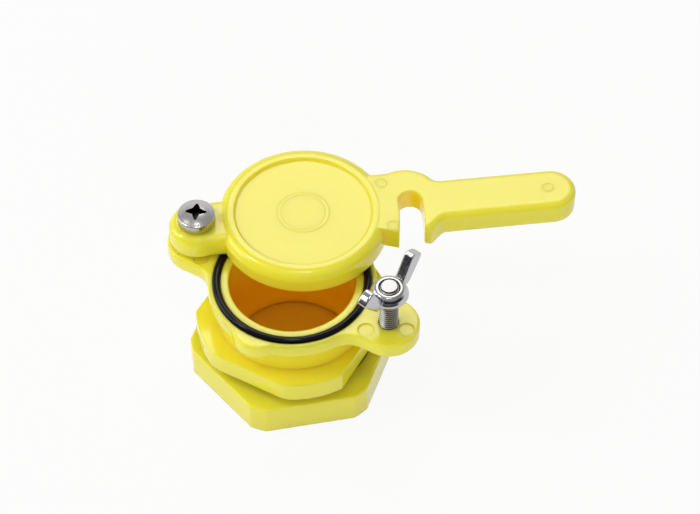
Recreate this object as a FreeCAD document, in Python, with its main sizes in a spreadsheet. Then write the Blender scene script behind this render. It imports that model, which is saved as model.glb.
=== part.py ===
import FreeCAD, Part
import Sketcher
import math
import os
import re

# A plastic honey gate valve with a swinging plate, shown with the plate swung part open.
#
# The origin is on the axis of the honey passage, in the face that the valve stands on.
# +Z runs up through the passage to the seat, and +X points from the passage to the clamp stud.
# The plate turns about the pivot screw on the -X side.

os.makedirs("parts", exist_ok=True)
doc = FreeCAD.newDocument("HoneyGateValve")

# Driving sizes, in millimetres and degrees.
DRIVING_SIZES = {
    # Honey passage and the turned outline of the body round it
    "bore_radius": 20.0,
    "spigot_wall": 3.9,
    "spigot_length": 15.5,
    "spigot_chamfer_length": 1.0,
    "collar_width": 6.9,
    "collar_thickness": 7.3,
    "collar_pivot_flat_depth": 4.6,
    "collar_clamp_flat_depth": 4.3,
    "collar_side_flat_depth": 2.7,
    "collar_corner_radius": 1.0,
    "collar_side_corner_radius": 9.0,
    "neck_wall": 4.4,
    "neck_height": 8.5,
    "flange_width": 6.5,
    "flange_thickness": 5.6,
    "flange_edge_radius": 0.8,
    "bore_edge_radius": 0.4,
    # Seat ring and its groove
    "ring_cord_radius": 1.3,
    "ring_offset": 3.8,
    "ring_proud_height": 1.1,
    "groove_clearance": 0.1,
    # Pivot ear, clamp ear and the lobe on the rim
    "pivot_radius": 34.4,
    "clamp_radius": 34.3,
    "ear_radius": 9.7,
    "ear_blend_radius": 7.5,
    "lobe_radius": 8.4,
    "lobe_height": 2.7,
    "lobe_blend_radius": 2.0,
    "dimple_radius": 2.5,
    "dimple_depth": 0.4,
    "dimple_outer_offset": 6.2,
    "dimple_inner_offset": 4.7,
    "dimple_side_offset": 6.1,
    # Tank gasket and mounting nut
    "gasket_width": 2.0,
    "gasket_thickness": 3.0,
    "thread_clearance": 0.08,
    "nut_wall": 6.02,
    "nut_corner_height": 3.2,
    "tank_gap": 1.0,
    "nut_angle": 9.6,
    "nut_chamfer_length": 1.0,
    "nut_side_blend_radius": 2.0,
    "nut_edge_radius": 0.5,
    # Metric fasteners
    "screw_radius": 2.95,
    "screw_hole_clearance": 0.25,
    "fastener_thread_gap": 0.05,
    "screw_tip_chamfer_length": 0.8,
    "washer_radius": 6.0,
    "washer_thickness": 1.6,
    "pan_head_radius": 5.8,
    "pan_head_side_height": 2.3,
    "pan_head_crown_height": 1.9,
    "pan_crown_edge_radius": 1.4,
    "cross_width": 1.2,
    "cross_length": 6.6,
    "cross_depth": 2.2,
    "pivot_screw_length": 20.0,
    "hex_half_width": 5.0,
    "hex_corner_height": 0.65,
    "lock_nut_height": 5.0,
    "bolt_head_height": 4.0,
    "clamp_bolt_length": 25.0,
    # Swinging plate: disc
    "open_angle": 35.7,
    "running_gap": 0.05,
    "pivot_clearance": 0.08,
    "disc_setback_length": 0.7,
    "disc_overhang_width": 0.4,
    "disc_thickness": 7.9,
    "disc_rim_radius": 3.4,
    "disc_foot_radius": 0.6,
    "recess_margin_width": 4.9,
    "recess_depth": 1.0,
    "recess_wall_width": 0.5,
    # Swinging plate: ear on the pivot
    "plate_ear_radius": 8.85,
    "plate_ear_half_width": 8.4,
    "plate_ear_drop_height": 0.6,
    "plate_ear_edge_radius": 2.6,
    # Swinging plate: hook and handle
    "lever_drop_height": 0.1,
    "lever_edge_radius": 2.0,
    "slot_setback_length": 0.85,
    "slot_half_width": 3.9,
    "mouth_radius": 1.3,
    "hook_block_half_width": 13.0,
    "hook_root_half_width": 9.4,
    "hook_back_bulge_height": 0.9,
    "hook_back_length_shift": 1.4,
    "hook_back_width_shift": 2.2,
    "prong_length": 11.9,
    "prong_width": 1.5,
    "prong_foot_length": 5.7,
    "handle_half_width": 7.9,
    "handle_length": 120.9,
    "lever_blend_radius": 3.0,
    "lever_seat_overlap_width": 0.6,
    # Wing nut on the clamp stud
    "wing_clearance_height": 3.05,
    "hub_foot_radius": 5.3,
    "hub_belly_radius": 6.1,
    "hub_belly_height": 1.7,
    "hub_top_radius": 5.0,
    "hub_height": 4.6,
    "hub_lip_width": 0.3,
    "wing_thickness": 3.4,
    "wing_root_radius": 4.0,
    "wing_root_height": 3.3,
    "wing_inner_radius": 9.0,
    "wing_inner_height": 11.9,
    "wing_outer_radius": 13.8,
    "wing_outer_height": 9.1,
    "wing_foot_radius": 8.0,
    "wing_foot_height": 1.3,
    "wing_toe_radius": 4.8,
    "wing_toe_height": 0.3,
    "wing_tip_radius": 0.9,
    "wing_edge_radius": 0.7,
    "wing_angle": 79.0,
}

sheet = doc.addObject("Spreadsheet::Sheet", "Sizes")
for row, (alias, amount) in enumerate(DRIVING_SIZES.items(), start=1):
    sheet.set(f"A{row}", alias)
    sheet.set(f"B{row}", str(amount))
    sheet.setAlias(f"B{row}", alias)
doc.recompute()

# Sizes that follow from the driving ones, as formulas in their names
SPIGOT_RADIUS = "(bore_radius + spigot_wall)"
NECK_RADIUS = "(bore_radius + neck_wall)"
COLLAR_RADIUS = "(bore_radius + spigot_wall + collar_width)"
FLANGE_RADIUS = "(bore_radius + flange_width)"
COLLAR_TOP = "(spigot_length + collar_thickness)"
FLANGE_UNDER = "(spigot_length + collar_thickness + neck_height)"
FLANGE_TOP = "(spigot_length + collar_thickness + neck_height + flange_thickness)"
RING_RADIUS = "(bore_radius + ring_offset)"
GROOVE_HALF_WIDTH = "(ring_cord_radius + groove_clearance)"
GROOVE_DEPTH = "(2 * ring_cord_radius - ring_proud_height + running_gap)"
SCREW_HOLE_RADIUS = "(screw_radius + screw_hole_clearance)"
NUT_HALF_WIDTH = f"({SPIGOT_RADIUS} + thread_clearance + nut_wall)"
NUT_BORE_RADIUS = f"({SPIGOT_RADIUS} + thread_clearance)"
NUT_HEIGHT = "(spigot_length - gasket_thickness - tank_gap)"
PLATE_UNDER = f"({FLANGE_TOP} + washer_thickness + running_gap)"
PLATE_TOP = f"({PLATE_UNDER} + disc_thickness)"
PLATE_EAR_THICKNESS = "(disc_thickness - plate_ear_drop_height)"
DISC_CENTRE = "(pivot_radius - disc_setback_length)"
DISC_RADIUS = f"({FLANGE_RADIUS} + disc_overhang_width)"
RECESS_RADIUS = f"({DISC_RADIUS} - recess_margin_width)"
LEVER_SEAT_RADIUS = f"({RECESS_RADIUS} + lever_seat_overlap_width)"
LEVER_THICKNESS = "(disc_thickness - lever_drop_height)"
SLOT_RADIUS = "(pivot_radius + clamp_radius - slot_setback_length)"
SLOT_INNER = f"({SLOT_RADIUS} - slot_half_width)"
SLOT_OUTER = f"({SLOT_RADIUS} + slot_half_width)"
HOOK_BACK_RADIUS = "(hook_block_half_width - hook_back_width_shift + hook_back_bulge_height)"
WING_NUT_UNDER = f"({PLATE_TOP} + wing_clearance_height)"

# Round numbers that carry no size of the valve
NOTHING = "0"
ALL_ROUND = 360
STRAIGHT_RUN = 2
TOLERANCE = 1e-4
CLEAR_OF_PIECE = "10"


def named(formula):
    """The formula with each driving size written as its cell in the sheet."""
    return re.sub(r"[a-z][a-z_]+", lambda word: cell(word.group()), formula)


def cell(word):
    """The sheet's cell for a driving size; function names such as sqrt stay as they are."""
    return f"Sizes.{word}" if word in DRIVING_SIZES else word


def amount_of(formula):
    """The present value of a formula, as a plain number."""
    return float(sheet.evalExpression(named(formula).replace("Sizes.", "")))


def bind(target, path, formula):
    """Tie one property of an object to the driving sizes."""
    target.setExpression(path, named(formula))


# Sketches


def sketch_on(body, name, plane, height=NOTHING):
    """A sketch on one of the body's own origin planes, lifted by a height along its normal."""
    outline = body.newObject("Sketcher::SketchObject", name)
    support = [item for item in body.Origin.OriginFeatures if item.Role == plane]
    outline.AttachmentSupport = [(support[0], "")]
    outline.MapMode = "FlatFace"
    bind(outline, "AttachmentOffset.Base.z", height)
    return outline


def hold_coordinate(outline, kind, geometry, position, axis, formula):
    """Hold one coordinate of a sketch point at a formula."""
    amount = amount_of(formula)
    if abs(amount) < TOLERANCE:
        outline.addConstraint(Sketcher.Constraint("PointOnObject", geometry, position, axis))
        return
    if amount > 0:
        number = outline.addConstraint(Sketcher.Constraint(kind, -1, 1, geometry, position, amount))
        bind(outline, f"Constraints[{number}]", formula)
        return
    number = outline.addConstraint(Sketcher.Constraint(kind, geometry, position, -1, 1, -amount))
    bind(outline, f"Constraints[{number}]", f"-({formula})")


def hold_point(outline, geometry, position, x, y):
    """Hold a sketch point at two formulas from the sketch's origin."""
    hold_coordinate(outline, "DistanceX", geometry, position, -2, x)
    hold_coordinate(outline, "DistanceY", geometry, position, -1, y)


def add_circle(outline, x, y, radius):
    """A circle whose centre and radius follow formulas."""
    centre = FreeCAD.Vector(amount_of(x), amount_of(y), 0)
    circle = Part.Circle(centre, FreeCAD.Vector(0, 0, 1), amount_of(radius))
    number = outline.addGeometry(circle, False)
    hold_point(outline, number, 3, x, y)
    held = outline.addConstraint(Sketcher.Constraint("Radius", number, amount_of(radius)))
    bind(outline, f"Constraints[{held}]", radius)


def add_path(outline, corners):
    """A closed path. A corner is (x, y) for a straight run up to it, or (x, y, centre x,
    centre y, turn) for an arc up to it that turns left or right."""
    points = [FreeCAD.Vector(amount_of(corner[0]), amount_of(corner[1]), 0) for corner in corners]
    numbers = []
    ends = []
    for index, corner in enumerate(corners):
        start, finish = points[index - 1], points[index]
        if len(corner) == STRAIGHT_RUN:
            numbers.append(outline.addGeometry(Part.LineSegment(start, finish), False))
            ends.append((1, 2))
            continue
        centre = FreeCAD.Vector(amount_of(corner[2]), amount_of(corner[3]), 0)
        turns_left = corner[4] == "left"
        first, last = (start, finish) if turns_left else (finish, start)
        circle = Part.Circle(centre, FreeCAD.Vector(0, 0, 1), (start - centre).Length)
        first_angle = math.atan2(first.y - centre.y, first.x - centre.x)
        last_angle = math.atan2(last.y - centre.y, last.x - centre.x)
        numbers.append(outline.addGeometry(Part.ArcOfCircle(circle, first_angle, last_angle), False))
        ends.append((1, 2) if turns_left else (2, 1))
    for index, corner in enumerate(corners):
        previous = index - 1
        outline.addConstraint(Sketcher.Constraint(
            "Coincident", numbers[previous], ends[previous][1], numbers[index], ends[index][0]))
        hold_point(outline, numbers[index], ends[index][1], corner[0], corner[1])
        if len(corner) > STRAIGHT_RUN:
            chord = points[index] - points[previous]
            if abs(chord.y) >= abs(chord.x):
                hold_coordinate(outline, "DistanceX", numbers[index], 3, -2, corner[2])
            else:
                hold_coordinate(outline, "DistanceY", numbers[index], 3, -1, corner[3])


# Features


def new_body(label):
    """A body for one sub-part."""
    body = doc.addObject("PartDesign::Body", label)
    body.Label = label
    return body


def turn(body, outline, name, axis="V_Axis"):
    """Turn a sketch all the way round one of its axes."""
    feature = body.newObject("PartDesign::Revolution", name)
    feature.Profile = outline
    feature.ReferenceAxis = (outline, [axis])
    feature.Angle = ALL_ROUND
    doc.recompute()
    return feature


def pad(body, outline, name, length, midplane=False):
    """Raise a sketch by a length."""
    feature = body.newObject("PartDesign::Pad", name)
    feature.Profile = outline
    feature.Midplane = midplane
    bind(feature, "Length", length)
    doc.recompute()
    return feature


def pocket(body, outline, name, length):
    """Sink a sketch by a length, against its normal, and make sure that it cut something."""
    before = body.Shape.Volume
    feature = body.newObject("PartDesign::Pocket", name)
    feature.Profile = outline
    bind(feature, "Length", length)
    doc.recompute()
    if body.Shape.Volume > before - TOLERANCE:
        raise RuntimeError(f"{name} cuts nothing")
    return feature


def edges_where(feature, test):
    """The names of the edges of a feature's shape that pass a test."""
    edges = enumerate(feature.Shape.Edges, start=1)
    return [f"Edge{number}" for number, edge in edges if test(edge)]


def round_edges(body, base, name, radius, test):
    """Round the edges of a feature that pass a test."""
    names = edges_where(base, test)
    if not names:
        raise RuntimeError(f"{name} finds no edge")
    feature = body.newObject("PartDesign::Fillet", name)
    feature.Base = (base, names)
    bind(feature, "Radius", radius)
    doc.recompute()
    return feature


def bevel_edges(body, base, name, size, test):
    """Chamfer the edges of a feature that pass a test."""
    feature = body.newObject("PartDesign::Chamfer", name)
    feature.Base = (base, edges_where(base, test))
    bind(feature, "Size", size)
    doc.recompute()
    return feature


def is_upright(edge):
    """Whether an edge is a straight one along Z."""
    box = edge.BoundBox
    return box.XLength < TOLERANCE and box.YLength < TOLERANCE and box.ZLength > TOLERANCE


def lies_at(edge, height):
    """Whether all of an edge lies at a height."""
    box = edge.BoundBox
    return abs(box.ZMin - height) < TOLERANCE and abs(box.ZMax - height) < TOLERANCE


def reach(point):
    """A point's distance from the Z axis."""
    return math.hypot(point.x, point.y)


def in_outer_wire(shape, edge, height):
    """Whether an edge is in the outer wire of the widest flat face at a height."""
    level = [face for face in shape.Faces if lies_at(face, height)]
    widest = max(level, key=lambda face: face.BoundBox.DiagonalLength)
    return any(edge.isSame(other) for other in widest.OuterWire.Edges)


# Valve body: spigot, wrench collar, neck, flange with seat groove, and two ears, in one moulding


def make_valve_body():
    body = new_body("valve_body")
    profile = sketch_on(body, "BodyProfile", "XZ_Plane")
    add_path(profile, [
        (NOTHING, NOTHING),
        (f"{SPIGOT_RADIUS} - spigot_chamfer_length", NOTHING),
        (SPIGOT_RADIUS, "spigot_chamfer_length"),
        (SPIGOT_RADIUS, "spigot_length"),
        (COLLAR_RADIUS, "spigot_length"),
        (COLLAR_RADIUS, COLLAR_TOP),
        (NECK_RADIUS, COLLAR_TOP),
        (NECK_RADIUS, FLANGE_UNDER),
        (FLANGE_RADIUS, FLANGE_UNDER),
        (FLANGE_RADIUS, FLANGE_TOP),
        (NOTHING, FLANGE_TOP),
    ])
    turn(body, profile, "BodyTurned")

    # Four wrench flats leave parts of the collar's round edge between them
    flats = sketch_on(body, "CollarFlats", "XY_Plane", COLLAR_TOP)
    clamp_flat = f"({COLLAR_RADIUS} - collar_clamp_flat_depth)"
    pivot_flat = f"({COLLAR_RADIUS} - collar_pivot_flat_depth)"
    side_flat = f"({COLLAR_RADIUS} - collar_side_flat_depth)"
    add_circle(flats, NOTHING, NOTHING, f"{clamp_flat} + {side_flat}")
    add_path(flats, [
        (clamp_flat, f"-{side_flat}"),
        (clamp_flat, side_flat),
        (f"-{pivot_flat}", side_flat),
        (f"-{pivot_flat}", f"-{side_flat}"),
    ])
    cut_flats = pocket(body, flats, "WrenchFlats", "collar_thickness")
    collar_middle = amount_of("spigot_length + collar_thickness / 2")
    side_corners = round_edges(
        body, cut_flats, "CollarSideCorners", "collar_side_corner_radius",
        lambda edge: is_upright(edge) and abs(edge.CenterOfMass.z - collar_middle) < TOLERANCE
        and abs(abs(edge.CenterOfMass.y) - amount_of(side_flat)) < TOLERANCE)
    round_edges(
        body, side_corners, "CollarCorners", "collar_corner_radius",
        lambda edge: is_upright(edge) and abs(edge.CenterOfMass.z - collar_middle) < TOLERANCE
        and (abs(edge.CenterOfMass.x - amount_of(clamp_flat)) < TOLERANCE
             or abs(edge.CenterOfMass.x + amount_of(pivot_flat)) < TOLERANCE))

    ears = sketch_on(body, "EarOutline", "XY_Plane", FLANGE_UNDER)
    add_path(ears, [
        ("clamp_radius", "-ear_radius"),
        ("clamp_radius", "ear_radius", "clamp_radius", NOTHING, "left"),
        ("-pivot_radius", "ear_radius"),
        ("-pivot_radius", "-ear_radius", "-pivot_radius", NOTHING, "left"),
    ])
    padded_ears = pad(body, ears, "Ears", "flange_thickness")
    blended = round_edges(
        body, padded_ears, "EarBlends", "ear_blend_radius",
        lambda edge: is_upright(edge) and edge.CenterOfMass.z > amount_of(FLANGE_UNDER)
        and abs(reach(edge.CenterOfMass) - amount_of(FLANGE_RADIUS)) < TOLERANCE)

    lobe = sketch_on(body, "LobeOutline", "XY_Plane", FLANGE_UNDER)
    add_circle(lobe, NOTHING, f"-({FLANGE_RADIUS} + lobe_height - lobe_radius)", "lobe_radius")
    padded_lobe = pad(body, lobe, "RimLobe", "flange_thickness")
    lobed = round_edges(
        body, padded_lobe, "LobeBlends", "lobe_blend_radius",
        lambda edge: is_upright(edge) and edge.CenterOfMass.z > amount_of(FLANGE_UNDER)
        and edge.CenterOfMass.y < 0
        and abs(edge.CenterOfMass.x) < amount_of("lobe_radius")
        and abs(reach(edge.CenterOfMass) - amount_of(FLANGE_RADIUS)) < TOLERANCE)

    top = amount_of(FLANGE_TOP)
    under = amount_of(FLANGE_UNDER)
    round_edges(
        body, lobed, "FlangeEdges", "flange_edge_radius",
        lambda edge: in_outer_wire(lobed.Shape, edge, top) or in_outer_wire(lobed.Shape, edge, under))

    passage = sketch_on(body, "PassageOutline", "XY_Plane", FLANGE_TOP)
    add_circle(passage, NOTHING, NOTHING, "bore_radius")
    bored = pocket(body, passage, "Passage", FLANGE_TOP)
    round_edges(
        body, bored, "PassageEdges", "bore_edge_radius",
        lambda edge: (lies_at(edge, top) or lies_at(edge, 0))
        and abs(edge.BoundBox.XLength / 2 - amount_of("bore_radius")) < TOLERANCE)

    groove = sketch_on(body, "GrooveOutline", "XY_Plane", FLANGE_TOP)
    add_circle(groove, NOTHING, NOTHING, f"{RING_RADIUS} + {GROOVE_HALF_WIDTH}")
    add_circle(groove, NOTHING, NOTHING, f"{RING_RADIUS} - {GROOVE_HALF_WIDTH}")
    pocket(body, groove, "SeatGroove", GROOVE_DEPTH)

    holes = sketch_on(body, "ScrewHoles", "XY_Plane", FLANGE_TOP)
    add_circle(holes, "-pivot_radius", NOTHING, SCREW_HOLE_RADIUS)
    add_circle(holes, "clamp_radius", NOTHING, SCREW_HOLE_RADIUS)
    pocket(body, holes, "EarHoles", "flange_thickness")

    dimples = sketch_on(body, "DimpleOutlines", "XY_Plane", FLANGE_TOP)
    for centre, sign in (("clamp_radius", 1), ("-pivot_radius", -1)):
        add_circle(dimples, f"{centre} + {sign} * dimple_outer_offset", NOTHING, "dimple_radius")
        for side in (1, -1):
            add_circle(dimples, f"{centre} - {sign} * dimple_inner_offset",
                       f"{side} * dimple_side_offset", "dimple_radius")
    pocket(body, dimples, "EarDimples", "dimple_depth")
    return body


# Seals


def make_o_ring():
    ring = doc.addObject("Part::Torus", "o_ring")
    bind(ring, "Radius1", RING_RADIUS)
    bind(ring, "Radius2", "ring_cord_radius")
    bind(ring, "Placement.Base.z", f"{FLANGE_TOP} + ring_proud_height - ring_cord_radius")
    return ring


def make_plain_ring(label, inner, outer, thickness, x, z):
    """A flat ring with a plain hole, such as a gasket or a washer."""
    outside = doc.addObject("Part::Cylinder", f"{label}_outside")
    hole = doc.addObject("Part::Cylinder", f"{label}_hole")
    bind(outside, "Radius", outer)
    bind(hole, "Radius", inner)
    for cylinder in (outside, hole):
        bind(cylinder, "Height", thickness)
    ring = doc.addObject("Part::Cut", label)
    ring.Base = outside
    ring.Tool = hole
    bind(ring, "Placement.Base.x", x)
    bind(ring, "Placement.Base.z", z)
    return ring


# Hexagon nuts and heads


def hexagon_path(half_width):
    """The six corners of a hexagon about the sketch's origin, with two flats across X."""
    corner = f"({half_width} * 2 / sqrt(3))"
    half = f"({half_width} / sqrt(3))"
    right = [(half_width, f"-{half}"), (half_width, half), (NOTHING, corner)]
    left = [(f"-{half_width}", half), (f"-{half_width}", f"-{half}"), (NOTHING, f"-{corner}")]
    return right + left


def pad_hexagon(body, name, half_width, corner_height, height, level=NOTHING):
    """A hexagon whose six corners are turned off by a circle."""
    outline = sketch_on(body, f"{name}Outline", "XY_Plane", level)
    add_path(outline, hexagon_path(half_width))
    pad(body, outline, name, height)
    waste = sketch_on(body, f"{name}Waste", "XY_Plane", f"{level} + {height}")
    add_circle(waste, NOTHING, NOTHING, f"{half_width} + {CLEAR_OF_PIECE}")
    add_circle(waste, NOTHING, NOTHING, f"{half_width} + {corner_height}")
    return pocket(body, waste, f"{name}Corners", height)


def make_mounting_nut():
    body = new_body("mounting_nut")
    turned = pad_hexagon(body, "NutHexagon", NUT_HALF_WIDTH, "nut_corner_height", NUT_HEIGHT)
    top = amount_of(NUT_HEIGHT)
    blended = round_edges(body, turned, "NutSideBlends", "nut_side_blend_radius", is_upright)
    edged = round_edges(
        body, blended, "NutEdges", "nut_edge_radius",
        lambda edge: lies_at(edge, top) or lies_at(edge, 0))
    bore = sketch_on(body, "NutBoreOutline", "XY_Plane", NUT_HEIGHT)
    add_circle(bore, NOTHING, NOTHING, NUT_BORE_RADIUS)
    bored = pocket(body, bore, "NutBore", NUT_HEIGHT)
    bevel_edges(
        body, bored, "NutThreadChamfers", "nut_chamfer_length",
        lambda edge: (lies_at(edge, top) or lies_at(edge, 0))
        and abs(edge.BoundBox.XLength / 2 - amount_of(NUT_BORE_RADIUS)) < TOLERANCE)
    bind(body, "Placement.Rotation.Angle", "nut_angle")
    body.Placement.Rotation.Axis = FreeCAD.Vector(0, 0, 1)
    return body


def make_pivot_nut():
    body = new_body("pivot_nut")
    pad_hexagon(body, "PivotNutHexagon", "hex_half_width", "hex_corner_height", "lock_nut_height")
    bore = sketch_on(body, "PivotNutBoreOutline", "XY_Plane", "lock_nut_height")
    add_circle(bore, NOTHING, NOTHING, "screw_radius + fastener_thread_gap")
    pocket(body, bore, "PivotNutBore", "lock_nut_height")
    bind(body, "Placement.Base.x", "-pivot_radius")
    bind(body, "Placement.Base.z", f"{FLANGE_UNDER} - lock_nut_height")
    return body


# Pan-head pivot screw and the hexagon bolt whose shank is the clamp stud


def make_pivot_screw():
    body = new_body("pivot_screw")
    profile = sketch_on(body, "PanScrewProfile", "XZ_Plane")
    head_height = "(pan_head_side_height + pan_head_crown_height)"
    crown_rise = "pan_head_crown_height"
    crown_half = "(pan_head_radius - pan_crown_edge_radius / 2)"
    crown_sphere = f"(({crown_half} ^ 2 + {crown_rise} ^ 2) / (2 * {crown_rise}))"
    add_path(profile, [
        (NOTHING, "-pivot_screw_length"),
        ("screw_radius - screw_tip_chamfer_length", "-pivot_screw_length"),
        ("screw_radius", "screw_tip_chamfer_length - pivot_screw_length"),
        ("screw_radius", NOTHING),
        (crown_half, NOTHING),
        ("pan_head_radius", "pan_crown_edge_radius / 2"),
        ("pan_head_radius", "pan_head_side_height - pan_crown_edge_radius / 2"),
        (crown_half, "pan_head_side_height"),
        (NOTHING, head_height, NOTHING, f"{head_height} - {crown_sphere}", "left"),
    ])
    turn(body, profile, "PanScrewTurned")
    for name, long_way in (("CrossAcross", True), ("CrossAlong", False)):
        slot = sketch_on(body, f"{name}Outline", "XY_Plane", head_height)
        half_x, half_y = ("cross_length / 2", "cross_width / 2")
        if not long_way:
            half_x, half_y = half_y, half_x
        add_path(slot, [
            (half_x, f"-{half_y}"),
            (half_x, half_y),
            (f"-{half_x}", half_y),
            (f"-{half_x}", f"-{half_y}"),
        ])
        pocket(body, slot, name, "cross_depth")
    bind(body, "Placement.Base.x", "-pivot_radius")
    bind(body, "Placement.Base.z", f"{PLATE_UNDER} + {PLATE_EAR_THICKNESS} + running_gap")
    return body


def make_clamp_bolt():
    body = new_body("clamp_bolt")
    pad_hexagon(body, "BoltHead", "hex_half_width", "hex_corner_height", "bolt_head_height",
                "-bolt_head_height")
    profile = sketch_on(body, "BoltShankProfile", "XZ_Plane")
    add_path(profile, [
        (NOTHING, "-bolt_head_height / 2"),
        ("screw_radius", "-bolt_head_height / 2"),
        ("screw_radius", "clamp_bolt_length - screw_tip_chamfer_length"),
        ("screw_radius - screw_tip_chamfer_length", "clamp_bolt_length"),
        (NOTHING, "clamp_bolt_length"),
    ])
    turn(body, profile, "BoltShank")
    bind(body, "Placement.Base.x", "clamp_radius")
    bind(body, "Placement.Base.z", f"{FLANGE_UNDER} - washer_thickness")
    return body


# Wing nut: a turned hub, and two thick wings that are one blade through it


def make_wing_nut():
    hub_body = new_body("WingHub")
    hub = sketch_on(hub_body, "HubProfile", "XZ_Plane")
    add_path(hub, [
        (NOTHING, NOTHING),
        ("hub_foot_radius", NOTHING),
        ("hub_belly_radius", "hub_belly_height"),
        ("hub_top_radius", "hub_height - hub_lip_width"),
        ("hub_top_radius - hub_lip_width", "hub_height"),
        (NOTHING, "hub_height"),
    ])
    turn(hub_body, hub, "HubTurned")

    blade_body = new_body("WingBlade")
    outline = sketch_on(blade_body, "WingOutline", "XZ_Plane")
    add_path(outline, [
        ("wing_toe_radius", "wing_toe_height"),
        ("wing_foot_radius", "wing_foot_height"),
        ("wing_outer_radius", "wing_outer_height"),
        ("wing_inner_radius", "wing_inner_height"),
        ("wing_root_radius", "wing_root_height"),
        ("-wing_root_radius", "wing_root_height"),
        ("-wing_inner_radius", "wing_inner_height"),
        ("-wing_outer_radius", "wing_outer_height"),
        ("-wing_foot_radius", "wing_foot_height"),
        ("-wing_toe_radius", "wing_toe_height"),
    ])
    blade = pad(blade_body, outline, "Wings", "wing_thickness", midplane=True)
    mid_height = amount_of("(wing_foot_height + wing_inner_height) / 2")
    tips = round_edges(
        blade_body, blade, "WingTips", "wing_tip_radius",
        lambda edge: edge.BoundBox.YLength > TOLERANCE
        and abs(edge.CenterOfMass.x) > amount_of("hub_belly_radius")
        and edge.CenterOfMass.z > mid_height)
    round_edges(
        blade_body, tips, "WingEdges", "wing_edge_radius",
        lambda edge: edge.BoundBox.YLength < TOLERANCE)

    joined = doc.addObject("Part::Fuse", "wing_nut_joined")
    joined.Base = hub_body
    joined.Tool = blade_body
    bore = doc.addObject("Part::Cylinder", "wing_nut_bore")
    bind(bore, "Radius", "screw_radius + fastener_thread_gap")
    bind(bore, "Height", "hub_height")
    nut = doc.addObject("Part::Cut", "wing_nut")
    nut.Base = joined
    nut.Tool = bore
    bind(nut, "Placement.Base.x", "clamp_radius")
    bind(nut, "Placement.Base.z", WING_NUT_UNDER)
    bind(nut, "Placement.Rotation.Angle", "wing_angle")
    nut.Placement.Rotation.Axis = FreeCAD.Vector(0, 0, 1)
    return nut


# Swinging plate: its own frame has the pivot at the origin and the handle along +X


def make_plate_disc():
    """The disc that covers the seat, turned about its own centre, with a shallow recess."""
    body = new_body("PlateDisc")
    profile = sketch_on(body, "DiscProfile", "XZ_Plane")
    foot_x = f"({DISC_CENTRE} + {DISC_RADIUS})"
    add_path(profile, [
        (DISC_CENTRE, NOTHING),
        (f"{foot_x} - disc_foot_radius", NOTHING),
        (foot_x, "disc_foot_radius", f"{foot_x} - disc_foot_radius", "disc_foot_radius", "left"),
        (foot_x, "disc_thickness - disc_rim_radius"),
        (f"{foot_x} - disc_rim_radius", "disc_thickness", f"{foot_x} - disc_rim_radius",
         "disc_thickness - disc_rim_radius", "left"),
        (f"{DISC_CENTRE} + {RECESS_RADIUS}", "disc_thickness"),
        (f"{DISC_CENTRE} + {RECESS_RADIUS} - recess_wall_width", "disc_thickness - recess_depth"),
        (DISC_CENTRE, "disc_thickness - recess_depth"),
    ])
    axis_foot = FreeCAD.Vector(amount_of(DISC_CENTRE), 0, 0)
    axis_head = FreeCAD.Vector(amount_of(DISC_CENTRE), amount_of("disc_thickness"), 0)
    axis = profile.addGeometry(Part.LineSegment(axis_foot, axis_head), True)
    hold_point(profile, axis, 1, DISC_CENTRE, NOTHING)
    hold_point(profile, axis, 2, DISC_CENTRE, "disc_thickness")
    turn(body, profile, "DiscTurned", "Axis0")
    return body


def make_plate_ear():
    """The ear that the pivot screw goes through."""
    body = new_body("PlateEar")
    start = f"sqrt({LEVER_SEAT_RADIUS} ^ 2 - plate_ear_half_width ^ 2)"
    waist = sketch_on(body, "EarWaistOutline", "XY_Plane")
    add_path(waist, [
        (NOTHING, "-plate_ear_half_width"),
        (f"{DISC_CENTRE} - {start}", "-plate_ear_half_width"),
        (f"{DISC_CENTRE} - {start}", "plate_ear_half_width", DISC_CENTRE, NOTHING, "right"),
        (NOTHING, "plate_ear_half_width"),
    ])
    pad(body, waist, "EarWaist", PLATE_EAR_THICKNESS)
    end = sketch_on(body, "EarEndOutline", "XY_Plane")
    add_circle(end, NOTHING, NOTHING, "plate_ear_radius")
    eye = pad(body, end, "EarEnd", PLATE_EAR_THICKNESS)
    blend = round_edges(
        body, eye, "EarWaistBlends", "plate_ear_radius / 2",
        lambda edge: is_upright(edge)
        and abs(reach(edge.CenterOfMass) - amount_of("plate_ear_radius")) < TOLERANCE
        and edge.CenterOfMass.x > 0)
    top = amount_of(PLATE_EAR_THICKNESS)
    seat = amount_of(f"{DISC_CENTRE} - {LEVER_SEAT_RADIUS}")
    round_edges(
        body, blend, "EarTopEdges", "plate_ear_edge_radius",
        lambda edge: lies_at(edge, top) and edge.BoundBox.XMin < seat - TOLERANCE)
    return body


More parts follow.
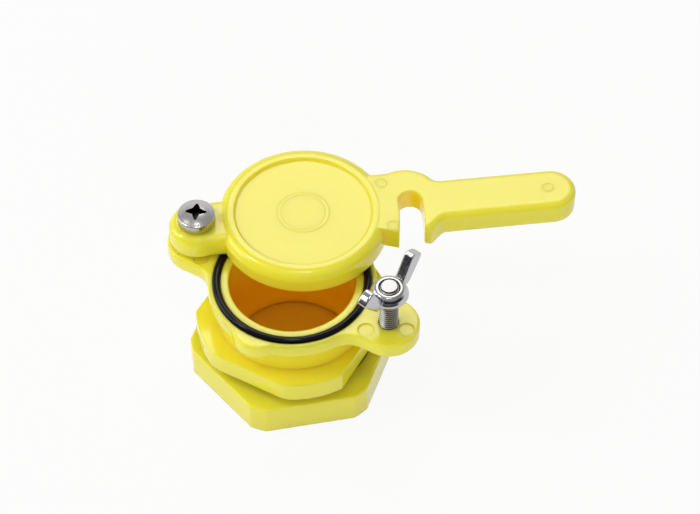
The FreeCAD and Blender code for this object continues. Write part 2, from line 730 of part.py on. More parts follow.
def make_plate_lever():
    """The hook that closes round the stud, and the handle."""
    body = new_body("PlateLever")
    back_x = f"({SLOT_RADIUS} - hook_back_length_shift)"
    block_run = f"sqrt({LEVER_SEAT_RADIUS} ^ 2 - hook_block_half_width ^ 2)"
    root_run = f"sqrt({LEVER_SEAT_RADIUS} ^ 2 - hook_root_half_width ^ 2)"
    back_run = f"sqrt({HOOK_BACK_RADIUS} ^ 2 - (hook_block_half_width - hook_back_width_shift) ^ 2)"
    handle_run = f"sqrt({HOOK_BACK_RADIUS} ^ 2 - (handle_half_width - hook_back_width_shift) ^ 2)"
    prong_x = f"({SLOT_OUTER} + prong_width)"
    outline = sketch_on(body, "HookOutline", "XY_Plane")
    add_path(outline, [
        (f"{DISC_CENTRE} + {root_run}", "-hook_root_half_width", DISC_CENTRE, NOTHING, "right"),
        (SLOT_INNER, "-hook_block_half_width"),
        (prong_x, "-prong_length"),
        (f"{SLOT_OUTER} + prong_foot_length", "-handle_half_width"),
        (f"{back_x} + {handle_run}", "handle_half_width"),
        (f"{back_x} - {back_run}", "hook_block_half_width", back_x, "hook_back_width_shift", "left"),
        (f"{DISC_CENTRE} + {block_run}", "hook_block_half_width"),
    ])
    pad(body, outline, "Hook", LEVER_THICKNESS)
    grip = sketch_on(body, "HandleOutline", "XY_Plane")
    tip_x = "(handle_length - handle_half_width)"
    add_path(grip, [
        (SLOT_OUTER, "-handle_half_width"),
        (tip_x, "-handle_half_width"),
        (tip_x, "handle_half_width", tip_x, NOTHING, "left"),
        (SLOT_OUTER, "handle_half_width"),
    ])
    handle = pad(body, grip, "Handle", LEVER_THICKNESS)
    top = amount_of(LEVER_THICKNESS)
    seat = amount_of(DISC_CENTRE) + amount_of(LEVER_SEAT_RADIUS)
    foot_x = amount_of(f"{SLOT_OUTER} + prong_foot_length")
    blended = round_edges(
        body, handle, "LeverBlends", "lever_blend_radius",
        lambda edge: is_upright(edge)
        and abs(abs(edge.CenterOfMass.y) - amount_of("handle_half_width")) < TOLERANCE
        and abs(edge.CenterOfMass.x - foot_x) < amount_of("prong_foot_length") / 2)
    # The slanted end of the hook's root keeps its sharp top edge
    root_end = amount_of(SLOT_INNER)
    round_edges(
        body, blended, "LeverTopEdges", "lever_edge_radius",
        lambda edge: in_outer_wire(blended.Shape, edge, top)
        and edge.BoundBox.XMax > seat + TOLERANCE
        and (edge.CenterOfMass.y > 0 or edge.CenterOfMass.x > root_end))

    # The slot is an arc about the pivot, with a round closed end and rounded lips at its mouth
    slot = sketch_on(body, "SlotOutline", "XY_Plane", LEVER_THICKNESS)
    inner_lip = "(mouth_radius - hook_block_half_width)"
    outer_lip = "(mouth_radius - prong_length)"
    inner_lip_x = f"sqrt({SLOT_INNER} ^ 2 - {inner_lip} ^ 2)"
    outer_lip_x = f"sqrt({SLOT_OUTER} ^ 2 - {outer_lip} ^ 2)"
    below = f"-(hook_block_half_width + {CLEAR_OF_PIECE})"
    add_path(slot, [
        (f"{inner_lip_x} - mouth_radius", below),
        (f"{outer_lip_x} + mouth_radius", below),
        (f"{outer_lip_x} + mouth_radius", "-prong_length"),
        (outer_lip_x, outer_lip, f"{outer_lip_x} + mouth_radius", outer_lip, "right"),
        (SLOT_OUTER, NOTHING, NOTHING, NOTHING, "left"),
        (SLOT_INNER, NOTHING, SLOT_RADIUS, NOTHING, "left"),
        (inner_lip_x, inner_lip, NOTHING, NOTHING, "right"),
        (f"{inner_lip_x} - mouth_radius", "-hook_block_half_width",
         f"{inner_lip_x} - mouth_radius", inner_lip, "right"),
    ])
    pocket(body, slot, "StudSlot", LEVER_THICKNESS)
    return body


def make_gate_plate():
    """The whole swinging plate in one moulding, placed on the pivot and swung open."""
    disc = make_plate_disc()
    ear = make_plate_ear()
    lever = make_plate_lever()
    joined = doc.addObject("Part::MultiFuse", "plate_joined")
    joined.Shapes = [disc, ear, lever]
    joined.Refine = True
    hole = doc.addObject("Part::Cylinder", "plate_pivot_hole")
    bind(hole, "Radius", "screw_radius + pivot_clearance")
    bind(hole, "Height", "disc_thickness")
    plate = doc.addObject("Part::Cut", "gate_plate")
    plate.Base = joined
    plate.Tool = hole
    bind(plate, "Placement.Base.x", "-pivot_radius")
    bind(plate, "Placement.Base.z", PLATE_UNDER)
    bind(plate, "Placement.Rotation.Angle", "open_angle")
    plate.Placement.Rotation.Axis = FreeCAD.Vector(0, 0, 1)
    return plate


sub_parts = [
    make_valve_body(),
    make_o_ring(),
    make_plain_ring("sealing_gasket", f"{SPIGOT_RADIUS} + thread_clearance",
                    f"{SPIGOT_RADIUS} + gasket_width", "gasket_thickness",
                    NOTHING, "spigot_length - gasket_thickness"),
    make_mounting_nut(),
    make_plain_ring("pivot_washer", SCREW_HOLE_RADIUS, "washer_radius", "washer_thickness",
                    "-pivot_radius", FLANGE_TOP),
    make_gate_plate(),
    make_pivot_screw(),
    make_pivot_nut(),
    make_plain_ring("clamp_washer", SCREW_HOLE_RADIUS, "washer_radius", "washer_thickness",
                    "clamp_radius", f"{FLANGE_UNDER} - washer_thickness"),
    make_clamp_bolt(),
    make_wing_nut(),
]

doc.recompute()
for item in doc.Objects:
    if "Invalid" in item.State or "Error" in item.State:
        raise RuntimeError(f"{item.Name} failed: {item.State}")
for part in sub_parts:
    if part.Shape.isNull() or not part.Shape.isValid():
        raise RuntimeError(f"{part.Label} has no valid shape")
for part in sub_parts:
    part.Shape.exportStep(f"parts/{part.Label}.step")
    print(part.Label, len(part.Shape.Solids), round(part.Shape.Volume, 1))
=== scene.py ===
import math

import bpy
from mathutils import Matrix, Vector


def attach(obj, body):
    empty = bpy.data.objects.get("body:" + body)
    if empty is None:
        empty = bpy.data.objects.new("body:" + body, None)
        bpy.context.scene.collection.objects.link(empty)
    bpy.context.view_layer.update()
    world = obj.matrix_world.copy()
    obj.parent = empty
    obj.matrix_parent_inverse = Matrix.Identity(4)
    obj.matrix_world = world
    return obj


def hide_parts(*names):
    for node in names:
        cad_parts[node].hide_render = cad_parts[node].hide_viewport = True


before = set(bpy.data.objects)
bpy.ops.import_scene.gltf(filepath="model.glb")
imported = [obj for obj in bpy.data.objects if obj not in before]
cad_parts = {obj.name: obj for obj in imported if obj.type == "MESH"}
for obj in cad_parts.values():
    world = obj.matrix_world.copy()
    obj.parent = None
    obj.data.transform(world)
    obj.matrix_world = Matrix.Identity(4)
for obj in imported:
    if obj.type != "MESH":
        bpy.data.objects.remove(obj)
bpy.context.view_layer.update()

# Honey gate valve: yellow mouldings, black seals, polished screws and a wing nut, on a white table.
# Lengths below are in millimetres in the valve's own frame: the passage stands on the origin,
# the clamp stud is on +X and the pivot on -X.

MM = 0.001

PIVOT = Vector((-34.4, 0.0, 0.0))
STUD = Vector((34.3, 0.0, 0.0))
SWING_OPEN = math.radians(35.7)
DISC_FROM_PIVOT = 33.7
PLATE_FLOOR = 45.45
EAR_TOP = 45.85
PLATE_TOP = 46.35
PIN_MARKS = [(8.9, 0.4, EAR_TOP), (60.9, -9.4, PLATE_TOP), (59.5, 8.3, PLATE_TOP),
             (111.9, 0.2, PLATE_TOP)]

HEAD_UNDER = 45.9
SCREW_END = 25.9
BOLT_HEAD_UNDER = 25.7
BOLT_HEAD_TOP = 29.7
STUD_TOP = 54.7
WING_NUT_UNDER = 49.5
WING_TURN = math.radians(79.0)


# ---- small helpers for modelling ----


def nothing_selected():
    for item in list(bpy.context.selected_objects):
        item.select_set(False)


def work_on(piece):
    nothing_selected()
    piece.select_set(True)
    bpy.context.view_layer.objects.active = piece


def named_piece(name):
    piece = bpy.context.object
    piece.name = name
    piece.data.name = name
    return piece


def edit(piece, choose="SELECT"):
    work_on(piece)
    bpy.ops.object.mode_set(mode="EDIT")
    bpy.ops.mesh.select_mode(type="VERT")
    bpy.ops.mesh.select_all(action=choose)


def done_editing():
    bpy.ops.object.mode_set(mode="OBJECT")


def pick_faces(piece, test):
    """Selects the faces whose centre and normal pass a test, and leaves the piece in edit mode."""
    work_on(piece)
    bpy.ops.object.mode_set(mode="EDIT")
    bpy.ops.mesh.select_mode(type="FACE")
    bpy.ops.mesh.select_all(action="DESELECT")
    bpy.ops.object.mode_set(mode="OBJECT")
    for face in piece.data.polygons:
        face.select = test(face.center / MM, face.normal)
    bpy.ops.object.mode_set(mode="EDIT")


def tidy_mesh(piece):
    edit(piece)
    bpy.ops.mesh.remove_doubles(threshold=0.002 * MM)
    bpy.ops.mesh.normals_make_consistent(inside=False)
    done_editing()


def clear_slivers(piece):
    """Takes out the slivers that a cut can leave, so that the mesh is closed."""
    edit(piece)
    bpy.ops.mesh.dissolve_degenerate(threshold=0.001 * MM)
    bpy.ops.mesh.remove_doubles(threshold=0.001 * MM)
    bpy.ops.mesh.normals_make_consistent(inside=False)
    done_editing()


def soften(piece, degrees):
    work_on(piece)
    bpy.ops.object.shade_smooth_by_angle(angle=math.radians(degrees))


def apply_modifier(piece, kind, **settings):
    work_on(piece)
    bpy.ops.object.modifier_add(type=kind)
    added = piece.modifiers[-1]
    for key, value in settings.items():
        setattr(added, key, value)
    bpy.ops.object.modifier_apply(modifier=added.name)


def combine(piece, other, operation):
    """Joins, cuts or keeps the overlap with another piece, and throws the other one away."""
    apply_modifier(piece, "BOOLEAN", operation=operation, object=other, solver="EXACT")
    bpy.data.objects.remove(other)


def place(piece, x=0.0, y=0.0, z=0.0, turn=0.0):
    """Moves and turns a finished mesh, with its object left at the origin."""
    piece.data.transform(Matrix.Translation(Vector((x, y, z)) * MM) @ Matrix.Rotation(turn, 4, "Z"))
    piece.data.update()


def copy_of(piece, name):
    twin = piece.copy()
    twin.data = piece.data.copy()
    twin.name = name
    twin.data.name = name
    bpy.context.scene.collection.objects.link(twin)
    return twin


def first_point(name, x, y, z):
    """A mesh with one vertex, made from a plane whose corners are merged."""
    nothing_selected()
    bpy.ops.mesh.primitive_plane_add(size=MM, location=(0, 0, 0))
    piece = named_piece(name)
    edit(piece)
    bpy.ops.mesh.merge(type="CENTER")
    bpy.ops.transform.translate(value=(x * MM, y * MM, z * MM))
    return piece


def drawn(name, points):
    """An open line through points in X, Y and Z, left in edit mode with its last point selected."""
    piece = first_point(name, *points[0])
    for before, after in zip(points, points[1:]):
        step = [(b - a) * MM for a, b in zip(before, after)]
        bpy.ops.mesh.extrude_vertices_move(TRANSFORM_OT_translate={"value": step})
    return piece


def turned(name, profile, sides=96):
    """A piece turned on the lathe about Z from a profile of radius and height."""
    piece = drawn(name, [(radius, 0.0, height) for radius, height in profile])
    bpy.ops.mesh.select_all(action="SELECT")
    bpy.ops.mesh.spin(steps=sides, angle=2 * math.pi, center=(0, 0, 0), axis=(0, 0, 1))
    done_editing()
    tidy_mesh(piece)
    return piece


def arc(centre_r, centre_z, radius, start, end, steps):
    """Points of a round corner in a lathe profile, by angles in degrees."""
    points = []
    for index in range(steps + 1):
        angle = math.radians(start + (end - start) * index / steps)
        points.append((centre_r + radius * math.cos(angle), centre_z + radius * math.sin(angle)))
    return points


def cut_sheet(name, outline, thickness):
    """A slab with an outline in X and Z, standing about the XZ plane."""
    piece = drawn(name, [(x, -thickness / 2, z) for x, z in outline])
    bpy.ops.mesh.select_all(action="SELECT")
    bpy.ops.mesh.edge_face_add()
    bpy.ops.mesh.extrude_region_move(TRANSFORM_OT_translate={"value": (0, thickness * MM, 0)})
    done_editing()
    tidy_mesh(piece)
    return piece


# ---- node groups that several finishes share ----


def group_socket(group, name, side, kind="NodeSocketFloat", value=None):
    socket = group.interface.new_socket(name=name, in_out=side, socket_type=kind)
    if value is not None:
        socket.default_value = value


def moulded_skin_group():
    """The faint flow of colour, the handling marks and the orange-peel height of a moulding, and its
    ambient occlusion, from which the finishes paint shade in the moulding's slots and corners.
    """
    group = bpy.data.node_groups.new("Moulded skin", "ShaderNodeTree")
    group_socket(group, "Flow size", "INPUT", value=60.0)
    group_socket(group, "Peel size", "INPUT", value=900.0)
    group_socket(group, "Flow", "OUTPUT")
    group_socket(group, "Marks", "OUTPUT")
    group_socket(group, "Height", "OUTPUT")
    group_socket(group, "Shade openness", "OUTPUT")
    nodes, links = group.nodes, group.links
    entry = nodes.new("NodeGroupInput")
    leave = nodes.new("NodeGroupOutput")
    where = nodes.new("ShaderNodeTexCoord")
    flow = nodes.new("ShaderNodeTexNoise")
    flow.inputs["Detail"].default_value = 3.0
    flow.inputs["Distortion"].default_value = 0.6
    peel = nodes.new("ShaderNodeTexNoise")
    peel.inputs["Detail"].default_value = 2.0
    marks = nodes.new("ShaderNodeTexNoise")
    marks.inputs["Scale"].default_value = 240.0
    marks.inputs["Detail"].default_value = 6.0
    marks.inputs["Roughness"].default_value = 0.75
    marks_range = nodes.new("ShaderNodeMapRange")
    marks_range.inputs["From Min"].default_value = 0.52
    marks_range.inputs["From Max"].default_value = 0.78
    links.new(where.outputs["Object"], flow.inputs["Vector"])
    links.new(where.outputs["Object"], peel.inputs["Vector"])
    links.new(where.outputs["Object"], marks.inputs["Vector"])
    links.new(entry.outputs["Flow size"], flow.inputs["Scale"])
    links.new(entry.outputs["Peel size"], peel.inputs["Scale"])
    links.new(marks.outputs["Fac"], marks_range.inputs["Value"])
    links.new(flow.outputs["Fac"], leave.inputs["Flow"])
    links.new(marks_range.outputs["Result"], leave.inputs["Marks"])
    links.new(peel.outputs["Fac"], leave.inputs["Height"])
    # Ambient occlusion of the piece itself, used for painted shade
    painted_shade_ao = nodes.new("ShaderNodeAmbientOcclusion")
    painted_shade_ao.only_local = True
    painted_shade_ao.samples = 6
    painted_shade_ao.inputs["Distance"].default_value = 14.0 * MM
    links.new(painted_shade_ao.outputs["AO"], leave.inputs["Shade openness"])
    return group


def handled_metal_group():
    """Fine wiping lines round a turned axis and small dull spots on metal."""
    group = bpy.data.node_groups.new("Handled metal", "ShaderNodeTree")
    group_socket(group, "Line size", "INPUT", value=2500.0)
    group_socket(group, "Spot size", "INPUT", value=700.0)
    group_socket(group, "Lines", "OUTPUT")
    group_socket(group, "Spots", "OUTPUT")
    nodes, links = group.nodes, group.links
    entry = nodes.new("NodeGroupInput")
    leave = nodes.new("NodeGroupOutput")
    where = nodes.new("ShaderNodeTexCoord")
    squeeze = nodes.new("ShaderNodeMapping")
    squeeze.inputs["Scale"].default_value = (1.0, 1.0, 0.12)
    lines = nodes.new("ShaderNodeTexNoise")
    lines.inputs["Detail"].default_value = 3.0
    spots = nodes.new("ShaderNodeTexNoise")
    spots.inputs["Detail"].default_value = 4.0
    links.new(where.outputs["Object"], squeeze.inputs["Vector"])
    links.new(squeeze.outputs["Vector"], lines.inputs["Vector"])
    links.new(where.outputs["Object"], spots.inputs["Vector"])
    links.new(entry.outputs["Line size"], lines.inputs["Scale"])
    links.new(entry.outputs["Spot size"], spots.inputs["Scale"])
    links.new(lines.outputs["Fac"], leave.inputs["Lines"])
    links.new(spots.outputs["Fac"], leave.inputs["Spots"])
    return group


MOULDED_SKIN = moulded_skin_group()
HANDLED_METAL = handled_metal_group()


def new_finish(name):
    finish = bpy.data.materials.new(name)
    finish.use_nodes = True
    return finish, finish.node_tree.nodes, finish.node_tree.links, finish.node_tree.nodes["Principled BSDF"]


def blend_colours(nodes, links, share, low, high, target):
    """Runs from one colour to another as a value goes from 0 to 1."""
    ramp = nodes.new("ShaderNodeValToRGB")
    ramp.color_ramp.elements[0].color = (*low, 1.0)
    ramp.color_ramp.elements[1].color = (*high, 1.0)
    links.new(share, ramp.inputs["Fac"])
    links.new(ramp.outputs["Color"], target)
    return ramp


def ranged(nodes, links, value, low, high, target):
    spread = nodes.new("ShaderNodeMapRange")
    spread.inputs["To Min"].default_value = low
    spread.inputs["To Max"].default_value = high
    links.new(value, spread.inputs["Value"])
    links.new(spread.outputs["Result"], target)


def add_bump(nodes, links, height, strength, distance, shader, base=None):
    bump = nodes.new("ShaderNodeBump")
    bump.inputs["Strength"].default_value = strength
    bump.inputs["Distance"].default_value = distance
    links.new(height, bump.inputs["Height"])
    if base is not None:
        links.new(base, bump.inputs["Normal"])
    links.new(bump.outputs["Normal"], shader.inputs["Normal"])


def painted_passage_shade(nodes, links, outside):
    """Paints shade on the passage's wall: turns the colour orange there, more so towards its lower end, for
    the shade and the light that comes through the wall.
    """
    where = nodes.new("ShaderNodeTexCoord")
    upright = nodes.new("ShaderNodeSeparateXYZ")
    level = nodes.new("ShaderNodeMapping")
    level.inputs["Scale"].default_value = (1.0, 1.0, 0.0)
    reach = nodes.new("ShaderNodeVectorMath")
    reach.operation = "LENGTH"
    inside = nodes.new("ShaderNodeMapRange")
    inside.inputs["From Min"].default_value = 20.6 * MM
    inside.inputs["From Max"].default_value = 20.2 * MM
    depth = nodes.new("ShaderNodeMapRange")
    depth.inputs["From Min"].default_value = 36.0 * MM
    depth.inputs["From Max"].default_value = 12.0 * MM
    depth.inputs["To Min"].default_value = 0.35
    both = nodes.new("ShaderNodeMath")
    both.operation = "MULTIPLY"
    painted_shade_mix = nodes.new("ShaderNodeMix")
    painted_shade_mix.data_type = "RGBA"
    colours = [socket for socket in painted_shade_mix.inputs if socket.type == "RGBA"]
    links.new(where.outputs["Object"], upright.inputs["Vector"])
    links.new(where.outputs["Object"], level.inputs["Vector"])
    links.new(level.outputs["Vector"], reach.inputs[0])
    links.new(reach.outputs["Value"], inside.inputs["Value"])
    links.new(upright.outputs["Z"], depth.inputs["Value"])
    links.new(inside.outputs["Result"], both.inputs[0])
    links.new(depth.outputs["Result"], both.inputs[1])
    links.new(both.outputs["Value"], painted_shade_mix.inputs["Factor"])
    links.new(outside, colours[0])
    # The orange of the painted passage shade
    colours[1].default_value = (1.0, 0.57, 0.006, 1.0)
    return [socket for socket in painted_shade_mix.outputs if socket.type == "RGBA"][0]


def yellow_plastic(name, cavity_shade_colour, paints_passage_shade=False, is_thick=True, glow=None):
    """Glossy moulded plastic. Its colour is painted dark orange where the moulding encloses itself: painted
    shade, for the light that bounces and comes through the plastic in its slots and corners.

    A glow is painted light there: an emission for the light that comes through the moulding.
    """
    finish, nodes, links, shader = new_finish(name)
    skin = nodes.new("ShaderNodeGroup")
    skin.node_tree = MOULDED_SKIN
    # Painted shade: where ambient occlusion is high, in slots, corners and the passage, the colour turns
    # dark orange, for light that comes through the moulding
    painted_shade_mix = nodes.new("ShaderNodeMix")
    painted_shade_mix.data_type = "RGBA"
    depth = nodes.new("ShaderNodeMapRange")
    depth.inputs["From Min"].default_value = 0.1
    depth.inputs["From Max"].default_value = 0.72
    links.new(skin.outputs["Shade openness"], depth.inputs["Value"])
    links.new(depth.outputs["Result"], painted_shade_mix.inputs["Factor"])
    colours = [socket for socket in painted_shade_mix.inputs if socket.type == "RGBA"]
    blend_colours(nodes, links, skin.outputs["Flow"], cavity_shade_colour, [shade * 1.03 for shade in cavity_shade_colour], colours[0])
    blend_colours(nodes, links, skin.outputs["Flow"], (0.95, 0.84, 0.052), (0.95, 0.85, 0.062), colours[1])
    blended = [socket for socket in painted_shade_mix.outputs if socket.type == "RGBA"][0]
    # Painted shade on the passage's wall
    if paints_passage_shade:
        blended = painted_passage_shade(nodes, links, blended)
    links.new(blended, shader.inputs["Base Color"])
    # Painted light: an orange emission in the same slots and corners, for light that comes through the
    # moulding
    if glow is not None:
        blend_colours(nodes, links, depth.outputs["Result"], glow, (0.0, 0.0, 0.0),
                      shader.inputs["Emission Color"])
        shader.inputs["Emission Strength"].default_value = 1.0
    ranged(nodes, links, skin.outputs["Marks"], 0.14, 0.17, shader.inputs["Roughness"])
    rounded_normal = None
    if is_thick:
        rounded = nodes.new("ShaderNodeBevel")
        rounded.samples = 4
        rounded.inputs["Radius"].default_value = 0.8 * MM
        rounded_normal = rounded.outputs["Normal"]
        shader.inputs["Subsurface Weight"].default_value = 0.7
        shader.inputs["Subsurface Radius"].default_value = (1.0, 0.82, 0.15)
        shader.inputs["Subsurface Scale"].default_value = 0.0045
    add_bump(nodes, links, skin.outputs["Height"], 0.03, 0.0002, shader, rounded_normal)
    shader.inputs["IOR"].default_value = 1.53
    return finish


def black_rubber(name):
    finish, nodes, links, shader = new_finish(name)
    skin = nodes.new("ShaderNodeGroup")
    skin.node_tree = MOULDED_SKIN
    skin.inputs["Flow size"].default_value = 150.0
    skin.inputs["Peel size"].default_value = 2500.0
    blend_colours(nodes, links, skin.outputs["Flow"], (0.002, 0.002, 0.003), (0.004, 0.004, 0.005),
                  shader.inputs["Base Color"])
    ranged(nodes, links, skin.outputs["Marks"], 0.10, 0.15, shader.inputs["Roughness"])
    add_bump(nodes, links, skin.outputs["Height"], 0.03, 0.0001, shader)
    shader.inputs["IOR"].default_value = 1.28
    return finish


def metal(name, dark, light, smooth, rough, line_strength, stud_axis=None):
    """A metal finish. Where a stud's axis is given, the roots of its thread are painted dark as painted
    shade in the grooves, and the stud's end face is painted a little darker to dim its reflection.
    """
    finish, nodes, links, shader = new_finish(name)
    handled = nodes.new("ShaderNodeGroup")
    handled.node_tree = HANDLED_METAL
    shader.inputs["Metallic"].default_value = 1.0
    if stud_axis is None:
        blend_colours(nodes, links, handled.outputs["Spots"], dark, light, shader.inputs["Base Color"])
    else:
        where = nodes.new("ShaderNodeTexCoord")
        centred = nodes.new("ShaderNodeMapping")
        centred.vector_type = "POINT"
        centred.inputs["Location"].default_value = (-stud_axis.x * MM, -stud_axis.y * MM, 0.0)
        centred.inputs["Scale"].default_value = (1.0, 1.0, 0.0)
        reach = nodes.new("ShaderNodeVectorMath")
        reach.operation = "LENGTH"
        crest = nodes.new("ShaderNodeMapRange")
        crest.inputs["From Min"].default_value = 2.60 * MM
        crest.inputs["From Max"].default_value = 2.92 * MM
        links.new(where.outputs["Object"], centred.inputs["Vector"])
        links.new(centred.outputs["Vector"], reach.inputs[0])
        links.new(reach.outputs["Value"], crest.inputs["Value"])
        # Painted shade: the stud's end face goes a quarter of the way to dark, to dim its reflection
        upright = nodes.new("ShaderNodeSeparateXYZ")
        end_face = nodes.new("ShaderNodeMapRange")
        end_face.inputs["From Min"].default_value = (STUD_TOP - 0.25) * MM
        end_face.inputs["From Max"].default_value = (STUD_TOP - 0.05) * MM
        end_face.inputs["To Max"].default_value = 0.75
        either = nodes.new("ShaderNodeMath")
        either.operation = "MAXIMUM"
        links.new(where.outputs["Object"], upright.inputs["Vector"])
        links.new(upright.outputs["Z"], end_face.inputs["Value"])
        links.new(crest.outputs["Result"], either.inputs[0])
        links.new(end_face.outputs["Result"], either.inputs[1])
        thread_root_shade = nodes.new("ShaderNodeMix")
        thread_root_shade.data_type = "RGBA"
        colours = [socket for socket in thread_root_shade.inputs if socket.type == "RGBA"]
        # Painted shade in the roots of the thread
        colours[0].default_value = (0.030, 0.028, 0.026, 1.0)
        links.new(either.outputs["Value"], thread_root_shade.inputs["Factor"])
        blend_colours(nodes, links, handled.outputs["Spots"], dark, light, colours[1])
        blended = [socket for socket in thread_root_shade.outputs if socket.type == "RGBA"][0]
        links.new(blended, shader.inputs["Base Color"])
    ranged(nodes, links, handled.outputs["Spots"], smooth, rough, shader.inputs["Roughness"])
    add_bump(nodes, links, handled.outputs["Lines"], line_strength, 0.00005, shader)
    return finish


# Each moulding's first colour is the dark orange of its painted shade in slots and corners
MOULDING = yellow_plastic("Yellow moulding", (0.96, 0.62, 0.012))
# The plate also glows with painted light in its slots and corners
PLATE_MOULDING = yellow_plastic("Yellow plate moulding", (0.98, 0.58, 0.006), glow=(0.28, 0.13, 0.0))
MARKED_MOULDING = yellow_plastic("Yellow moulding marks", (0.96, 0.62, 0.012), is_thick=False)
BODY_MOULDING = yellow_plastic("Yellow body moulding", (0.95, 0.72, 0.022), paints_passage_shade=True)
RUBBER = black_rubber("Black rubber")
POLISHED = metal("Polished wing nut", (0.46, 0.46, 0.48), (0.54, 0.54, 0.56), 0.12, 0.18, 0.05)
SATIN = metal("Satin screw head", (0.47, 0.46, 0.45), (0.55, 0.54, 0.52), 0.22, 0.30, 0.06)
# A rougher turned finish for the hub's top, with its colour painted darker to dim its reflection of the
# lamps above
HUB_TOP_PAINTED_DARKER = metal("Turned hub top, painted darker", (0.34, 0.34, 0.33), (0.40, 0.39, 0.38), 0.22, 0.30, 0.08)
# Painted shade: near-black steel for the walls far down in the screw's cross
PAINTED_CROSS_SHADE = metal("Painted shade in the screw cross", (0.010, 0.009, 0.008), (0.030, 0.026, 0.022), 0.35, 0.50, 0.06)
ROLLED = metal("Rolled steel", (0.34, 0.34, 0.35), (0.46, 0.46, 0.46), 0.26, 0.38, 0.2)
THREAD = metal("Rolled steel thread", (0.48, 0.47, 0.46), (0.60, 0.59, 0.58), 0.30, 0.40, 0.1, STUD)


def finish_piece(piece, material, body, slot_name, *nodes):
    piece.data.materials.clear()
    piece.data.materials.append(material)
    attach(piece, body)
    if nodes:
        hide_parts(*nodes)


# ---- the mouldings and seals ----


def finish_solid(node, material):
    """Gives a solid its finish and leaves its shape as it is."""
    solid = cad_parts[node]
    solid.data.materials.clear()
    solid.data.materials.append(material)


def low_ring(name, along, across, floor, radius, width, height):
    """A low round ring on the swinging plate, placed in the plate's own directions."""
    inner, outer = radius - width / 2, radius + width / 2
    ring = turned(name, [
        (inner, floor - 0.15), (inner, floor), (inner + width * 0.3, floor + height),
        (outer - width * 0.3, floor + height), (outer, floor), (outer, floor - 0.15),
        (inner, floor - 0.15),
    ], 96)
    place(ring, along, across)
    return ring


def make_plate_rings():
    """The plain ring in the middle of the plate's recess and the moulding pin marks round it."""
    rings = low_ring("plate_rings", DISC_FROM_PIVOT, 0.0, PLATE_FLOOR, 7.7, 1.3, 0.08)
    for along, across, floor in PIN_MARKS:
        mark = low_ring("pin_mark", along, across, floor, 1.7, 0.6, 0.07)
        combine(rings, mark, "UNION")
    rings.data.transform(Matrix.Translation(PIVOT * MM) @ Matrix.Rotation(SWING_OPEN, 4, "Z"))
    soften(rings, 50)
    return rings


def make_mouldings():
    finish_solid("valve_body", BODY_MOULDING)
    finish_solid("gate_plate", PLATE_MOULDING)
    finish_solid("mounting_nut", MOULDING)
    finish_piece(make_plate_rings(), MARKED_MOULDING, "gate", "yellow_plastic")


def make_seals():
    finish_solid("o_ring", RUBBER)
    finish_solid("sealing_gasket", RUBBER)


# ---- screws and nuts ----


def threaded_rod(name, radius, bottom, top, tip_low, tip_high):
    """A rod with a real M6 thread between two heights, with a bevel at each end that is asked for."""
    pitch, depth, flat = 1.0, 0.58, 0.11
    start = bottom - 2 * pitch
    root = radius - depth
    ridge = drawn(name, [
        (root, 0.0, start), (root, 0.0, start + 0.14), (radius, 0.0, start + 0.5 - flat / 2),
        (radius, 0.0, start + 0.5 + flat / 2), (root, 0.0, start + pitch - 0.14),
        (root, 0.0, start + pitch),
    ])
    done_editing()
    turns = int(math.ceil((top - bottom) / pitch)) + 4
    apply_modifier(ridge, "SCREW", axis="Z", angle=2 * math.pi, screw_offset=pitch * MM,
                   iterations=turns, steps=40, render_steps=40, use_merge_vertices=True,
                   merge_threshold=0.001 * MM)
    for height, outside in ((bottom, (0, 0, -1)), (top, (0, 0, 1))):
        edit(ridge)
        bpy.ops.mesh.bisect(plane_co=(0, 0, height * MM), plane_no=outside, use_fill=True,
                            clear_outer=True, threshold=0.0001 * MM)
        done_editing()
    tidy_mesh(ridge)
    blank = turned(f"{name}_blank", [
        (0, bottom - 0.001), (radius - tip_low, bottom - 0.001), (radius + 0.001, bottom + tip_low),
        (radius + 0.001, top - tip_high), (radius - tip_high, top + 0.001), (0, top + 0.001),
    ])
    combine(ridge, blank, "INTERSECT")
    clear_slivers(ridge)
    soften(ridge, 35)
    return ridge


def hexagon_head(name, half_width, bottom, top, bevel_low, bevel_high):
    """A hexagon whose corners are turned off at 30 degrees, with two flats across X."""
    nothing_selected()
    corner = half_width / math.cos(math.pi / 6)
    bpy.ops.mesh.primitive_cylinder_add(vertices=6, radius=corner * MM,
                                        depth=(top - bottom + 1.0) * MM, location=(0, 0, 0))
    head = named_piece(name)
    place(head, z=(bottom + top) / 2)
    apply_modifier(head, "BEVEL", width=0.12 * MM, segments=2, limit_method="ANGLE",
                   angle_limit=math.radians(40))
    ease = 0.4
    blank = turned(f"{name}_blank", [
        (0, bottom), (half_width - ease if bevel_low else corner + 1, bottom),
        (corner + 0.2, bottom + (corner - half_width + ease) * 0.55 if bevel_low else bottom + 0.1),
        (corner + 0.2, top - (corner - half_width + ease) * 0.55 if bevel_high else top - 0.1),
        (half_width - ease if bevel_high else corner + 1, top), (0, top),
    ], 72)
    combine(head, blank, "INTERSECT")
    clear_slivers(head)
    soften(head, 35)
    return head


